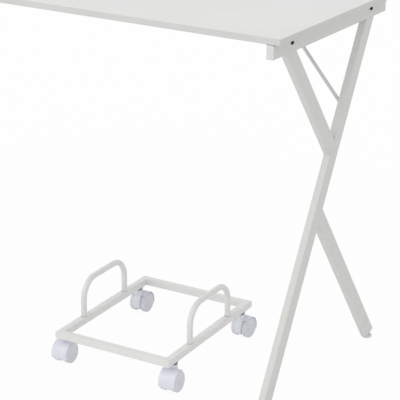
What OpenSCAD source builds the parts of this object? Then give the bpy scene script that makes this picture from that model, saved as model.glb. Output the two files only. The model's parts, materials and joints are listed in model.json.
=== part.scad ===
// L-shaped desk: three laminated boards on a powder-coated tube frame, with a K-shaped leg frame
// at the end of each wing, a two-legged frame under the corner, and a rolling stand for a
// computer tower under the long wing. Millimetres, +Z up, the floor at z = 0, and the origin in
// the middle of the footprint. The long wing runs along +X and the short wing along -Y from the
// back left corner.

/* [Desk top] */
// Width of the whole desk, along the long wing
desk_w = 1480; // [1380:10:1700]
// Depth of the whole desk, along the short wing
desk_d = 1120; // [1040:10:1700]
// Height of the top surface above the floor
desk_h = 760; // [700:5:800]
// Depth of each wing, from its front edge to its back edge
wing_depth = 460; // [430:5:520]
// Side of the square that the corner board is cut from
corner_side = 720; // [680:10:800]
// Thickness of the boards
board_t = 12; // [11:0.5:18]
// Thickness of the plastic band glued round the edge of each board
band_t = 1; // [0.4:0.1:2]
// Corner radius of the boards' free corners, seen from above
board_r = 4; // [2.5:0.5:12]

/* [Leg frames] */
// Long side of the leg tube's section, which lies in the plane of the K
leg_a = 30; // [24:1:34]
// Short side of the leg tube's section, and width of the top rail
leg_b = 15; // [13:1:20]
// Height of the top rail's section
rail_h = 28; // [24:1:34]
// Wall of the steel tubes
tube_wall = 1.2; // [0.8:0.1:2]
// Outer corner radius of the steel tubes
tube_r = 2; // [1.5:0.1:4]
// How far the boards stand out past each leg frame
end_overhang = 13; // [8:1:30]
// Distance from each end of the top rail to the middle of the tube that meets it
leg_top_in = 69; // [50:1:90]
// How far the long leg lands outside the wing's front edge
front_foot_out = 12; // [0:1:18]
// How far the lower branch lands outside the wing's back edge
back_foot_out = 7; // [0:1:15]
// Lean of the upper branch from the vertical, in degrees
upper_lean = 37.5; // [34:0.5:39]
// Lean of the lower branch from the vertical, in degrees
lower_lean = 36; // [34:0.5:39]

/* [Beams and corner frame] */
// Side of the square tube of the beams and the corner rail
beam = 18; // [16:1:25]
// Distance from each long edge of a wing to the middle of its beam
beam_in = 68; // [50:1:100]
// Side of the square tube of the two corner legs
corner_leg = 28; // [22:1:34]
// Distance along the diagonal from the outer corner to the middle of the rear corner leg
rear_leg_in = 60; // [50:1:70]
// Distance along the diagonal from the slanted edge to the middle of the front corner leg
front_leg_in = 70; // [50:1:100]
// Thickness of the gusset plates that tie the beams to the corner rail
gusset_t = 2.5; // [2:0.5:4]
// Length of a gusset plate along each beam
gusset_l = 76; // [70:1:90]
// Distance from the end of a gusset plate to the screw in the beam above it
gusset_hole_in = 16; // [10:1:20]
// Distance along the corner rail from a gusset's corner to the screw in the rail
gusset_rail_hole = 42; // [36:1:44]

/* [Feet] */
// Height of a levelling foot's pad
pad_h = 6; // [4:0.5:8]
// Diameter of a levelling foot's pad
pad_d = 22; // [18:1:26]
// Radius of a levelling foot's threaded stud
stud_r = 3; // [2.5:0.5:4]
// Length of stud above the pad
stud_l = 18; // [15:1:20]
// Size across flats of the hexagon on top of a pad
pad_hex = 10; // [8:0.5:11]
// Height of that hexagon
pad_hex_h = 2.4; // [1.5:0.1:2.6]
// Gap between a pad and the lowest point of the plug above it
pad_gap = 1; // [0.8:0.1:2]
// Tilt of the cut at the foot of a leaning leg, in degrees
foot_tilt = 20; // [16:1:22]
// Thickness of the flange of a foot plug
plug_flange = 1.4; // [1:0.1:3]

/* [Caps and fasteners] */
// Thickness of the flange of a tube's end cap
cap_t = 1.5; // [1:0.1:3]
// Length of the stub that holds a cap in its tube
cap_stub = 12; // [8:1:20]
// Shank radius of the bolts that hold the beams
bolt_r = 3; // [2.5:0.5:4]
// Head radius of those bolts
bolt_head_r = 5.2; // [4.5:0.1:7]
// Head height of those bolts
bolt_head_h = 3.3; // [2:0.1:5]
// Size across flats of their sockets
bolt_socket = 4; // [3:0.5:5]
// Length of the threaded plug in the end of a beam
beam_plug_l = 14; // [10:1:25]
// Shank radius of the wood screws
screw_r = 2; // [1.5:0.1:2.4]
// Depth that the wood screws reach into a board
screw_depth = 9; // [6:0.5:10]
// Distance from a seam or a leg frame to the nearest screw in a beam
screw_in = 90; // [70:5:120]
// Length of a joining plate across a seam
plate_l = 80; // [60:5:120]
// Width of a joining plate
plate_w = 36; // [30:1:50]
// Thickness of a joining plate
plate_t = 2; // [1.5:0.5:3]
// Corner radius of a joining plate
plate_r = 5; // [2:0.5:6]
// Distance from each end of a joining plate to its screws
plate_end_in = 10; // [9:1:14]
// Distance from each side of a joining plate to its screws
plate_side_in = 8; // [8:0.5:12]
// Distance between the middles of the two joining plates of a seam
plate_pitch = 150; // [100:5:180]

/* [Brace] */
// Diameter of the brace rod
brace_d = 7; // [6:0.5:10]
// Height at which the brace leaves the long leg
brace_z = 565; // [520:5:600]
// How far the brace reaches inward under the board
brace_reach = 155; // [120:5:200]
// Length of the tab at each end of a brace
tab_l = 26; // [24:1:32]
// Width of a brace's tabs
tab_w = 12; // [10:1:14]
// Thickness of a brace's tabs
tab_t = 3; // [2:0.5:4]

/* [Tower stand] */
// Width of the stand's frame
stand_w = 274; // [240:2:320]
// Depth of the stand's frame
stand_d = 346; // [320:2:420]
// Height of the top of the stand's frame above the floor
stand_h = 74; // [73:1:90]
// Side of the stand's square tube
stand_tube = 15; // [14:1:20]
// Corner radius of the stand's square tube
stand_tube_r = 1.8; // [1.5:0.1:3]
// Distance from the right leg frame's outer face to the stand's front left corner
stand_in = 493; // [443:10:543]
// How far that corner stands out past the long wing's front edge
stand_out = 11; // [-9:2:31]
// How far the stand is turned on the floor, in degrees
stand_turn = 1.7; // [-3:0.1:3]
// Diameter of the hoops' round tube
hoop_d = 12.5; // [10:0.5:14]
// Wall of the hoops' tube
hoop_wall = 1; // [0.8:0.1:2]
// Height of the hoops above the frame
hoop_h = 85; // [75:1:140]
// Distance between the middles of a hoop's two legs
hoop_span = 157; // [130:1:200]
// Bend radius of a hoop, at the middle of its tube
hoop_r = 42; // [25:1:50]

/* [Castors] */
// Distance from each end of a side rail to the middle of a castor's stem
stem_in = 33; // [28:1:40]
// Diameter of the castor wheels
wheel_d = 44; // [40:1:46]
// Width of one wheel's tread
wheel_w = 10.4; // [9:0.1:12]
// Gap between the two wheels of a castor
wheel_gap = 17; // [16:0.1:19]
// Distance from the stem's axis back to the axle's axis
trail = 10.3; // [9.5:0.1:12]
// Radius of the wheels' axle
axle_r = 2.5; // [2:0.1:3]
// Radius of the stem's threaded part
stem_r = 4; // [3.5:0.5:4.5]
// Radius of the stem's lower pin, on which the castor swivels
pivot_r = 3; // [2.5:0.1:3.4]
// Thickness of the hood over the wheels
hood_t = 1.7; // [1.4:0.1:2]
// Angle at which the hood ends on the stem's side, from level behind the axle
hood_to = 125; // [110:1:140]
// Thickness of the side walls of the castor's body
body_wall = 2; // [1.6:0.1:2.4]
// Height of the lower edge of the castor's body above the floor
body_low = 11; // [9:0.5:13]
// Height of the lower edge of the hood above the floor
hood_low = 14; // [10:0.5:17]
// Depth of the dish in the outer face of a wheel
wheel_dish = 0.8; // [0.4:0.1:1.2]
// Swivel of the front left castor, in degrees
front_left_turn = -179; // [-180:1:180]
// Swivel of the front right castor, in degrees
front_right_turn = -177; // [-180:1:180]
// Swivel of the back right castor, in degrees
back_right_turn = -4; // [-180:1:180]
// Swivel of the back left castor, in degrees
back_left_turn = 2; // [-180:1:180]

/* [Hidden] */

// Colours
board_white = [0.94, 0.94, 0.93];
band_white = [0.88, 0.89, 0.87];
coat_white = [0.86, 0.86, 0.85];
cap_white = [0.90, 0.90, 0.93];
castor_white = [0.84, 0.85, 0.91];
zinc = [0.62, 0.63, 0.65];
steel = [0.45, 0.46, 0.48];
black = [0.06, 0.06, 0.07];

// Smoothness of round pieces, and a length that passes everything
$fn = 48;
far = 3000;

// Clearances
thread_gap = 0.05;   // a threaded or running fit, on the radius
hole_gap = 0.3;      // a bolt in its clearance hole, on the radius
axle_gap = 0.02;     // a wheel on its axle, on the radius
slip_gap = 0.1;      // a plastic stub in its tube, on each side
driver_gap = 1;      // a screw's head in the hole that it goes in through, on the radius
wheel_side_gap = 0.6;   // a wheel beside the castor's body
tread_gap = 1;       // a wheel inside the castor's hood, on the radius

// Heights
frame_top = desk_h - board_t;
rail_bottom = frame_top - rail_h;
beam_bottom = frame_top - beam;
beam_mid = frame_top - beam / 2;
beam_seat = frame_top - tube_wall;
foot_lift = pad_h + pad_gap + pad_d / 2 * tan(foot_tilt);
stud_top = pad_h + stud_l;
plug_top = stud_top + 4;
stub_wall = 2;

// Centre lines of the K's three tubes, as [y, z] from the front end of the top rail
long_top = [wing_depth - leg_top_in, rail_bottom];
long_foot = [-front_foot_out, 0];
long_lean = atan2(long_top[0] - long_foot[0], rail_bottom);
upper_top = [leg_top_in, rail_bottom];
lower_foot = [wing_depth + back_foot_out, 0];
function long_y(z) = long_foot[0] + z * tan(long_lean);
function lower_y(z) = lower_foot[0] - z * tan(lower_lean);

// Reach of the feet past the boards' back edges, which sets where the footprint's middle is
foot_half = leg_a / 2 * cos(foot_tilt) / cos(lower_lean - foot_tilt);
foot_reach = max(0, lower_y(foot_lift) + foot_half - wing_depth);
corner_x = (foot_reach - desk_w) / 2;
corner_y = (desk_d - foot_reach) / 2;

// Beams, from the wing's back edge
beam_back = beam_in;
beam_front = wing_depth - beam_in;

// Places along the corner's diagonal
slant = (wing_depth + corner_side) / sqrt(2);
rear_leg_at = rear_leg_in;
front_leg_at = slant - front_leg_in;
diagonal_from = rear_leg_at - corner_leg / 2;
diagonal_to = front_leg_at + corner_leg / 2;

// Screws along a beam of a wing of the given length
function screw_places(len) = [
    corner_side - screw_in,
    corner_side + screw_in,
    len - end_overhang - leg_b - screw_in
];
screw_head_r = screw_r * 2;
screw_head_h = 2.4;
diagonal_screws = [slant * 0.36, slant * 0.8];

// Joining plates, from the wing's back edge
plate_places = [for (s = [-1, 1]) wing_depth / 2 + s * plate_pitch / 2];
plate_hole_x = plate_l / 2 - plate_end_in;
plate_hole_y = plate_w / 2 - plate_side_in;

// Gusset plates
gusset_places = [beam_back * sqrt(2), beam_front * sqrt(2)];
gusset_screw_r = 2.5;
gusset_screw_l = 7;
gusset_hole_along = gusset_l - gusset_hole_in;

// Brace
brace_y = long_y(brace_z);
brace_lower = [-leg_b - tab_t / 2, brace_z];
brace_upper = [-leg_b - brace_reach, frame_top - tab_t / 2];
brace_bolt_r = 2.5;
tab_over = 6;
tab_hole = tab_l - tab_w / 2 - tab_over;
brace_bolt_z = brace_z - tab_hole;

// Stand and castors
stand_bottom = stand_h - stand_tube;
wheel_r = wheel_d / 2;
wheel_out = wheel_gap / 2 + wheel_w;
body_w = wheel_gap - 2 * wheel_side_gap;
hood_in = wheel_r + tread_gap;
hood_out = hood_in + hood_t;
hood_w = 2 * wheel_out - 1;
neck_r = body_w / 2 - 0.7;
hub_r = axle_r + 2.5;
axle_end = wheel_out - 2;
washer_t = 1.2;
washer_r = 8;
collar_h = 3.6;
collar_flats = 11;
collar_bottom = stand_bottom - washer_t - collar_h;
neck_top = collar_bottom - 0.4;
pivot_bottom = wheel_r + 4;
post_bottom = pivot_bottom - 2.5;
nut_h = 9;
nut_r = stem_r + 1.6;
castor_turns = [front_left_turn, front_right_turn, back_right_turn, back_left_turn];
stem_places = [
    [stand_tube / 2, stem_in],
    [stand_w - stand_tube / 2, stem_in],
    [stand_w - stand_tube / 2, stand_d - stem_in],
    [stand_tube / 2, stand_d - stem_in]
];

// Flat outline of a rectangle with four rounded corners, about its middle
module rounded_rect(w, h, r) {
    square([w - 2 * r, h], center = true);
    square([w, h - 2 * r], center = true);
    for (sx = [-1, 1], sy = [-1, 1])
        translate([sx * (w / 2 - r), sy * (h / 2 - r)]) circle(r);
}

// Section of a rectangular tube
module tube_section(w, h, r, wall = tube_wall) {
    difference() {
        rounded_rect(w, h, r);
        rounded_rect(w - 2 * wall, h - 2 * wall, r - wall * 0.75);
    }
}

// Section of a stub that fits inside such a tube
module stub_section(w, h, r, wall = tube_wall) {
    rounded_rect(w - 2 * (wall + slip_gap), h - 2 * (wall + slip_gap), r - wall * 0.75);
}

// Places a piece on the long wing: x from the outer corner, y back from 0 at the back edge
module long_wing() {
    translate([corner_x, corner_y, 0]) children();
}

// Places a piece on the short wing, as the mirror image about the corner's diagonal
module short_wing() {
    translate([corner_x, corner_y, 0]) mirror([1, 1, 0]) children();
}

// Places a piece on the leg frame of a wing of the given length: x = 0 is the frame's outer
// face, and y = 0 the front end of its top rail
module at_leg_frame(len) {
    translate([len - end_overhang, -wing_depth, 0]) children();
}

// Places a piece on the corner's diagonal, with x along it
module on_diagonal() {
    translate([corner_x, corner_y, 0]) rotate([0, 0, -45]) children();
}

// Boards

// Outline of a wing's board, drawn in by d, with its two free corners rounded
module wing_outline(len, d) {
    r = board_r - d;
    x0 = corner_side + d;
    x1 = len - d;
    y0 = d - wing_depth;
    y1 = -d;
    translate([x0, y0]) square([x1 - x0 - r, y1 - y0]);
    translate([x0, y0 + r]) square([x1 - x0, y1 - y0 - 2 * r]);
    for (y = [y0 + r, y1 - r]) translate([x1 - r, y]) circle(r);
}

// Outline of the corner board, drawn in by d, with its outer corner rounded
module corner_outline(d) {
    r = board_r - d;
    k = d * (sqrt(2) - 1);
    difference() {
        polygon([
            [d, -d], [corner_side - d, -d], [corner_side - d, k - wing_depth],
            [wing_depth - k, d - corner_side], [d, d - corner_side]
        ]);
        difference() {
            translate([d - 1, -d - r]) square([r + 1, r + 1]);
            translate([d + r, -d - r]) circle(r);
        }
    }
}

module board_slab() {
    translate([0, 0, frame_top]) linear_extrude(board_t) children();
}

// Pilot hole for a wood screw, from the underside of a board
module pilot(x, y) {
    translate([x, y, frame_top - 1])
        cylinder(r = screw_r + thread_gap, h = 1 + screw_depth + 0.3);
}

// Pilot holes for everything screwed up into the boards of a wing
module wing_pilots(len) {
    for (x = screw_places(len), y = [beam_back, beam_front]) pilot(x, -y);
    for (y = plate_places, sx = [-1, 1], sy = [-1, 1])
        pilot(corner_side + sx * plate_hole_x, -y + sy * plate_hole_y);
    at_leg_frame(len) pilot(brace_upper[0] - tab_hole, brace_y);
}

module wing_board(len) {
    difference() {
        board_slab() wing_outline(len, band_t);
        wing_pilots(len);
    }
}

module main_board() {
    color(board_white) long_wing() wing_board(desk_w);
}

module return_board() {
    color(board_white) short_wing() wing_board(desk_d);
}

module corner_board() {
    color(board_white) difference() {
        translate([corner_x, corner_y, 0]) board_slab() corner_outline(band_t);
        long_wing() wing_pilots(desk_w);
        short_wing() wing_pilots(desk_d);
        on_diagonal() for (x = diagonal_screws) pilot(x, 0);
    }
}

module edge_bands() {
    color(band_white) {
        long_wing() board_slab() difference() {
            wing_outline(desk_w, 0);
            wing_outline(desk_w, band_t);
        }
        short_wing() board_slab() difference() {
            wing_outline(desk_d, 0);
            wing_outline(desk_d, band_t);
        }
        translate([corner_x, corner_y, 0]) board_slab() difference() {
            corner_outline(0);
            corner_outline(band_t);
        }
    }
}

// Flat plates with rounded corners, screwed under each seam
module seam_plates() {
    for (y = plate_places)
        translate([corner_side, -y, frame_top - plate_t]) difference() {
            linear_extrude(plate_t) rounded_rect(plate_l, plate_w, plate_r);
            for (sx = [-1, 1], sy = [-1, 1])
                translate([sx * plate_hole_x, sy * plate_hole_y, -1])
                    cylinder(r = screw_r + hole_gap, h = plate_t + 2);
        }
}

module joining_plates() {
    color(zinc) {
        long_wing() seam_plates();
        short_wing() seam_plates();
    }
}

// Wood screw that stands on the level where its head bears, pointing up
module wood_screw(x, y, seat) {
    tip = 3;
    shank = frame_top + screw_depth - seat;
    translate([x, y, seat]) rotate_extrude() polygon([
        [0, -screw_head_h], [screw_head_r * 0.6, -screw_head_h],
        [screw_head_r, -screw_head_h * 0.4], [screw_head_r, 0],
        [screw_r, 0], [screw_r, shank - tip], [0, shank]
    ]);
}

module wing_screws(len) {
    for (x = screw_places(len), y = [beam_back, beam_front]) wood_screw(x, -y, beam_seat);
    for (y = plate_places, sx = [-1, 1], sy = [-1, 1])
        wood_screw(corner_side + sx * plate_hole_x, -y + sy * plate_hole_y, frame_top - plate_t);
    at_leg_frame(len) wood_screw(brace_upper[0] - tab_hole, brace_y, frame_top - tab_t);
}

module wood_screws() {
    color(zinc) {
        long_wing() wing_screws(desk_w);
        short_wing() wing_screws(desk_d);
        on_diagonal() for (x = diagonal_screws) wood_screw(x, 0, beam_seat);
    }
}

// Leg frames

// Prism of the given section along a leaning line through [y, z], long enough to be cut back
module leaning(point, lean) {
    translate([-leg_b / 2, point[0], point[1]]) rotate([-lean, 0, 0])
        translate([0, 0, -far / 2]) linear_extrude(far) children();
}

// Everything between two heights
module between(z0, z1) {
    translate([-far / 2, -far / 2, z0]) cube([far, far, z1 - z0]);
}

// Everything on one side of the long leg: side = -1 in front of it, 1 behind it
module beside_long_leg(side) {
    translate([0, long_foot[0], long_foot[1]]) rotate([-long_lean, 0, 0])
        translate([-far / 2, side > 0 ? leg_a / 2 : -leg_a / 2 - far, -far / 2])
            cube([far, far, far]);
}

// Everything above the tilted cut at the foot of a leg that leans as in leaning() and has its
// middle at y there, with the cut raised by h
module above_cut(y, lean, h) {
    translate([0, y, foot_lift]) rotate([-sign(lean) * foot_tilt, 0, 0])
        translate([-far / 2, -far / 2, h]) cube([far, far, far]);
}

module leg_tube() {
    tube_section(leg_b, leg_a, tube_r);
}

// Top rail, with a through hole at each beam
module top_rail() {
    difference() {
        translate([-leg_b / 2, cap_t, frame_top - rail_h / 2]) rotate([-90, 0, 0])
            linear_extrude(wing_depth - 2 * cap_t) tube_section(leg_b, rail_h, tube_r);
        for (y = [wing_depth - beam_front, wing_depth - beam_back])
            translate([-leg_b - 1, y, beam_mid]) rotate([0, 90, 0])
                cylinder(r = bolt_r + hole_gap, h = leg_b + 2);
    }
}

// Long leg, with a hole in its inner wall for the brace's screw
module long_leg() {
    difference() {
        intersection() {
            leaning(long_foot, long_lean) leg_tube();
            above_cut(long_y(foot_lift), long_lean, plug_flange);
            between(0, rail_bottom);
        }
        translate([-leg_b - 1, brace_y, brace_bolt_z]) rotate([0, 90, 0])
            cylinder(r = brace_bolt_r + hole_gap, h = 1 + tube_wall * 2);
    }
}

module upper_branch() {
    intersection() {
        leaning(upper_top, -upper_lean) leg_tube();
        between(0, rail_bottom);
        beside_long_leg(-1);
    }
}

module lower_branch() {
    intersection() {
        leaning(lower_foot, -lower_lean) leg_tube();
        above_cut(lower_y(foot_lift), -lower_lean, plug_flange);
        between(0, rail_bottom);
        beside_long_leg(1);
    }
}

module right_top_rail() {
    color(coat_white) long_wing() at_leg_frame(desk_w) top_rail();
}

module right_long_leg() {
    color(coat_white) long_wing() at_leg_frame(desk_w) long_leg();
}

module right_upper_branch() {
    color(coat_white) long_wing() at_leg_frame(desk_w) upper_branch();
}

module right_lower_branch() {
    color(coat_white) long_wing() at_leg_frame(desk_w) lower_branch();
}

module return_top_rail() {
    color(coat_white) short_wing() at_leg_frame(desk_d) top_rail();
}

module return_long_leg() {
    color(coat_white) short_wing() at_leg_frame(desk_d) long_leg();
}

module return_upper_branch() {
    color(coat_white) short_wing() at_leg_frame(desk_d) upper_branch();
}

module return_lower_branch() {
    color(coat_white) short_wing() at_leg_frame(desk_d) lower_branch();
}

// Braces

// Round rod welded to a tab at each end: one lies on the long leg, the other under the board
module brace() {
    run = [brace_upper[0] - brace_lower[0], brace_upper[1] - brace_lower[1]];
    lean = atan2(run[0], run[1]);
    translate([0, brace_y, 0]) {
        intersection() {
            translate([brace_lower[0], 0, brace_lower[1]]) rotate([0, lean, 0])
                translate([0, 0, -tab_l]) cylinder(d = brace_d, h = norm(run) + 2 * tab_l);
            translate([-leg_b - tab_t / 2 - far, -tab_w, 0])
                cube([far, 2 * tab_w, frame_top - tab_t / 2]);
        }
        translate([-leg_b - tab_t, 0, brace_z + tab_over]) rotate([0, 90, 0])
            linear_extrude(tab_t) brace_tab(brace_bolt_r);
        translate([brace_upper[0] + tab_over, 0, frame_top - tab_t]) rotate([0, 0, 180])
            linear_extrude(tab_t) brace_tab(screw_r);
    }
}

// Outline of a tab, from x = 0 along +x, with a screw hole near its rounded end
module brace_tab(hole_r) {
    r = tab_w / 2 - 1;
    difference() {
        union() {
            translate([0, -tab_w / 2]) square([tab_l - r, tab_w]);
            translate([0, r - tab_w / 2]) square([tab_l, tab_w - 2 * r]);
            for (s = [-1, 1]) translate([tab_l - r, s * (tab_w / 2 - r)]) circle(r);
        }
        translate([tab_l - tab_w / 2, 0]) circle(hole_r + hole_gap);
    }
}

module right_brace() {
    color(coat_white) long_wing() at_leg_frame(desk_w) brace();
}

module return_brace() {
    color(coat_white) short_wing() at_leg_frame(desk_d) brace();
}

// Caps, plugs and bolts

// End cap of a tube along +z: its flange starts at z = 0 and its stub goes up into the tube
module cap(w, h, r) {
    linear_extrude(cap_t) rounded_rect(w, h, r);
    translate([0, 0, cap_t]) linear_extrude(cap_stub) difference() {
        stub_section(w, h, r);
        square([w - 2 * (tube_wall + stub_wall), h - 2 * (tube_wall + stub_wall)], center = true);
    }
}

module top_rail_caps() {
    for (end = [0, 1])
        translate([-leg_b / 2, end * wing_depth, frame_top - rail_h / 2])
            rotate([end == 0 ? -90 : 90, 0, 0]) cap(leg_b, rail_h, tube_r);
}

module rail_caps() {
    color(cap_white) {
        long_wing() at_leg_frame(desk_w) top_rail_caps();
        short_wing() at_leg_frame(desk_d) top_rail_caps();
        on_diagonal() {
            translate([diagonal_from - cap_t, 0, beam_mid]) rotate([0, 90, 0])
                cap(beam, beam, tube_r);
            translate([diagonal_to + cap_t, 0, beam_mid]) rotate([0, -90, 0])
                cap(beam, beam, tube_r);
        }
    }
}

// Threaded hole for a foot's stud, from the underside of a plug
module stud_hole(y) {
    translate([-leg_b / 2, y, 0])
        cylinder(r = stud_r + thread_gap, h = stud_top + 0.5);
}

// Plug in the end of a leaning leg, with a flange along the tilted cut
module leaning_plug(point, lean, y) {
    difference() {
        union() {
            intersection() {
                leaning(point, lean) rounded_rect(leg_b, leg_a, tube_r);
                difference() {
                    above_cut(y, lean, 0);
                    above_cut(y, lean, plug_flange);
                }
            }
            intersection() {
                leaning(point, lean) stub_section(leg_b, leg_a, tube_r);
                above_cut(y, lean, plug_flange);
                between(0, plug_top);
            }
        }
        stud_hole(y);
    }
}

module frame_plugs() {
    leaning_plug(long_foot, long_lean, long_y(foot_lift));
    leaning_plug(lower_foot, -lower_lean, lower_y(foot_lift));
}

module corner_plug() {
    difference() {
        union() {
            translate([0, 0, foot_lift]) linear_extrude(plug_flange)
                rounded_rect(corner_leg, corner_leg, tube_r);
            translate([0, 0, foot_lift]) linear_extrude(plug_top - foot_lift)
                stub_section(corner_leg, corner_leg, tube_r);
        }
        translate([leg_b / 2, 0, 0]) stud_hole(0);
    }
}

module foot_plugs() {
    color(cap_white) {
        long_wing() at_leg_frame(desk_w) frame_plugs();
        short_wing() at_leg_frame(desk_d) frame_plugs();
        on_diagonal() for (x = [rear_leg_at, front_leg_at]) translate([x, 0, 0]) corner_plug();
    }
}

// Levelling foot: a round pad with rounded edges and a hexagon, on a threaded stud
module levelling_foot() {
    edge = 1.6;
    rotate_extrude() {
        square([pad_d / 2 - edge, pad_h]);
        translate([0, edge]) square([pad_d / 2, pad_h - 2 * edge]);
        for (z = [edge, pad_h - edge]) translate([pad_d / 2 - edge, z]) circle(edge);
        square([stud_r, stud_top]);
    }
    translate([0, 0, pad_h / 2])
        cylinder(d = pad_hex / cos(30), h = pad_h / 2 + pad_hex_h, $fn = 6);
}

module frame_foot(y) {
    translate([-leg_b / 2, y, 0]) levelling_foot();
}

module right_front_foot() {
    color(cap_white) long_wing() at_leg_frame(desk_w) frame_foot(long_y(foot_lift));
}

module right_back_foot() {
    color(cap_white) long_wing() at_leg_frame(desk_w) frame_foot(lower_y(foot_lift));
}

module return_front_foot() {
    color(cap_white) short_wing() at_leg_frame(desk_d) frame_foot(long_y(foot_lift));
}

module return_back_foot() {
    color(cap_white) short_wing() at_leg_frame(desk_d) frame_foot(lower_y(foot_lift));
}

module corner_rear_foot() {
    color(cap_white) on_diagonal() translate([rear_leg_at, 0, 0]) levelling_foot();
}

module corner_front_foot() {
    color(cap_white) on_diagonal() translate([front_leg_at, 0, 0]) levelling_foot();
}

// Button-head bolt with a hexagon socket, its head on the outer face of the top rail
module beam_bolt() {
    dome = bolt_head_r * 0.62;
    difference() {
        rotate([0, -90, 0]) rotate_extrude() polygon([
            [0, -bolt_head_h], [dome, -bolt_head_h], [bolt_head_r * 0.85, -bolt_head_h * 0.72],
            [bolt_head_r, -bolt_head_h * 0.2], [bolt_head_r, 0],
            [bolt_r, 0], [bolt_r, leg_b + beam_plug_l - 1], [0, leg_b + beam_plug_l]
        ]);
        translate([bolt_head_h * 0.3, 0, 0]) rotate([0, 90, 0])
            cylinder(d = bolt_socket / cos(30), h = bolt_head_h, $fn = 6);
    }
}

module frame_bolts() {
    for (y = [wing_depth - beam_front, wing_depth - beam_back])
        translate([0, y, beam_mid]) beam_bolt();
}

module beam_bolts() {
    color(black) {
        long_wing() at_leg_frame(desk_w) frame_bolts();
        short_wing() at_leg_frame(desk_d) frame_bolts();
    }
}

// Threaded plug pressed into the end of a beam
module frame_beam_plugs() {
    for (y = [wing_depth - beam_front, wing_depth - beam_back])
        translate([-leg_b, y, beam_mid]) rotate([0, -90, 0]) difference() {
            linear_extrude(beam_plug_l) stub_section(beam, beam, tube_r);
            translate([0, 0, -1]) cylinder(r = bolt_r + thread_gap, h = beam_plug_l + 2);
        }
}

module beam_plugs() {
    color(steel) {
        long_wing() at_leg_frame(desk_w) frame_beam_plugs();
        short_wing() at_leg_frame(desk_d) frame_beam_plugs();
    }
}

// Beams and corner frame

// Everything on a wing's own side of the corner rail
module past_corner_rail() {
    rotate([0, 0, -45]) translate([-far / 2, beam / 2, 0]) cube([far, far, far]);
}

// Hole for a wood screw through a beam's upper wall, and a wider one below it to reach it by
module screw_passage() {
    translate([0, 0, beam_bottom - 1])
        cylinder(r = screw_head_r + driver_gap, h = 1 + beam / 2);
    translate([0, 0, beam_mid]) cylinder(r = screw_r + hole_gap, h = beam / 2 + 1);
}

// Beam of a wing of the given length, at the given distance from its back edge
module wing_beam(len, y) {
    difference() {
        intersection() {
            translate([0, -y, beam_mid]) rotate([0, 90, 0])
                linear_extrude(len - end_overhang - leg_b) tube_section(beam, beam, tube_r);
            past_corner_rail();
        }
        for (x = screw_places(len)) translate([x, -y, 0]) screw_passage();
        gusset_hole_places() translate([0, 0, beam_bottom - 1])
            cylinder(r = gusset_screw_r + thread_gap, h = 1 + tube_wall * 1.5);
    }
}

module main_front_beam() {
    color(coat_white) long_wing() wing_beam(desk_w, beam_front);
}

module main_back_beam() {
    color(coat_white) long_wing() wing_beam(desk_w, beam_back);
}

module return_front_beam() {
    color(coat_white) short_wing() wing_beam(desk_d, beam_front);
}

module return_back_beam() {
    color(coat_white) short_wing() wing_beam(desk_d, beam_back);
}

// Gussets: a flat triangle under each meeting of two beams and the corner rail, held by a
// screw in each beam and one in the rail
// The holes in the beam of the long wing, seen from the outer corner
module gusset_hole_places() {
    for (d = gusset_places) translate([d / sqrt(2) + gusset_hole_along, -d / sqrt(2), 0])
        children();
}

module gusset_rail_hole_places() {
    for (d = gusset_places) translate([d + gusset_rail_hole, 0, 0]) children();
}

module gusset_outline() {
    q = beam / 2;
    polygon([
        [q, q], [gusset_l, q], [gusset_l, -q], [q, -gusset_l], [-q, -gusset_l], [-q, -q]
    ]);
}

module corner_gussets() {
    color(coat_white) translate([corner_x, corner_y, 0]) difference() {
        for (d = gusset_places) translate([d, -d, 0] / sqrt(2))
            translate([0, 0, beam_bottom - gusset_t]) linear_extrude(gusset_t) gusset_outline();
        gusset_all_holes() translate([0, 0, beam_bottom - 2 * gusset_t])
            cylinder(r = gusset_screw_r + hole_gap, h = 3 * gusset_t);
    }
}

module gusset_all_holes() {
    gusset_hole_places() children();
    mirror([1, 1, 0]) gusset_hole_places() children();
    rotate([0, 0, -45]) gusset_rail_hole_places() children();
}

// Pan-head machine screw that stands on z = 0, pointing up
module machine_screw(r, len) {
    head_h = r * 1.1;
    rotate_extrude() polygon([
        [0, -head_h], [r * 1.2, -head_h], [r * 1.9, -head_h * 0.4], [r * 1.9, 0],
        [r, 0], [r, len], [0, len]
    ]);
}

module brace_screw() {
    translate([-leg_b - tab_t, brace_y, brace_bolt_z]) rotate([0, 90, 0])
        machine_screw(brace_bolt_r, tab_t + 7);
}

module machine_screws() {
    color(zinc) {
        translate([corner_x, corner_y, 0]) gusset_all_holes()
            translate([0, 0, beam_bottom - gusset_t]) machine_screw(gusset_screw_r, gusset_screw_l);
        long_wing() at_leg_frame(desk_w) brace_screw();
        short_wing() at_leg_frame(desk_d) brace_screw();
    }
}

module corner_rail() {
    color(coat_white) on_diagonal() difference() {
        translate([diagonal_from, 0, beam_mid]) rotate([0, 90, 0])
            linear_extrude(diagonal_to - diagonal_from) tube_section(beam, beam, tube_r);
        for (x = diagonal_screws) translate([x, 0, 0]) screw_passage();
        gusset_rail_hole_places() translate([0, 0, beam_bottom - 1])
            cylinder(r = gusset_screw_r + thread_gap, h = 1 + tube_wall * 1.5);
    }
}

module corner_leg_tube(x) {
    low = foot_lift + plug_flange;
    on_diagonal() translate([x, 0, low]) linear_extrude(beam_bottom - low)
        tube_section(corner_leg, corner_leg, tube_r);
}

module corner_rear_leg() {
    color(coat_white) corner_leg_tube(rear_leg_at);
}

module corner_front_leg() {
    color(coat_white) corner_leg_tube(front_leg_at);
}

// Tower stand

module on_stand() {
    long_wing() at_leg_frame(desk_w) translate([-stand_in, -stand_out, 0])
        rotate([0, 0, stand_turn]) children();
}

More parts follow.
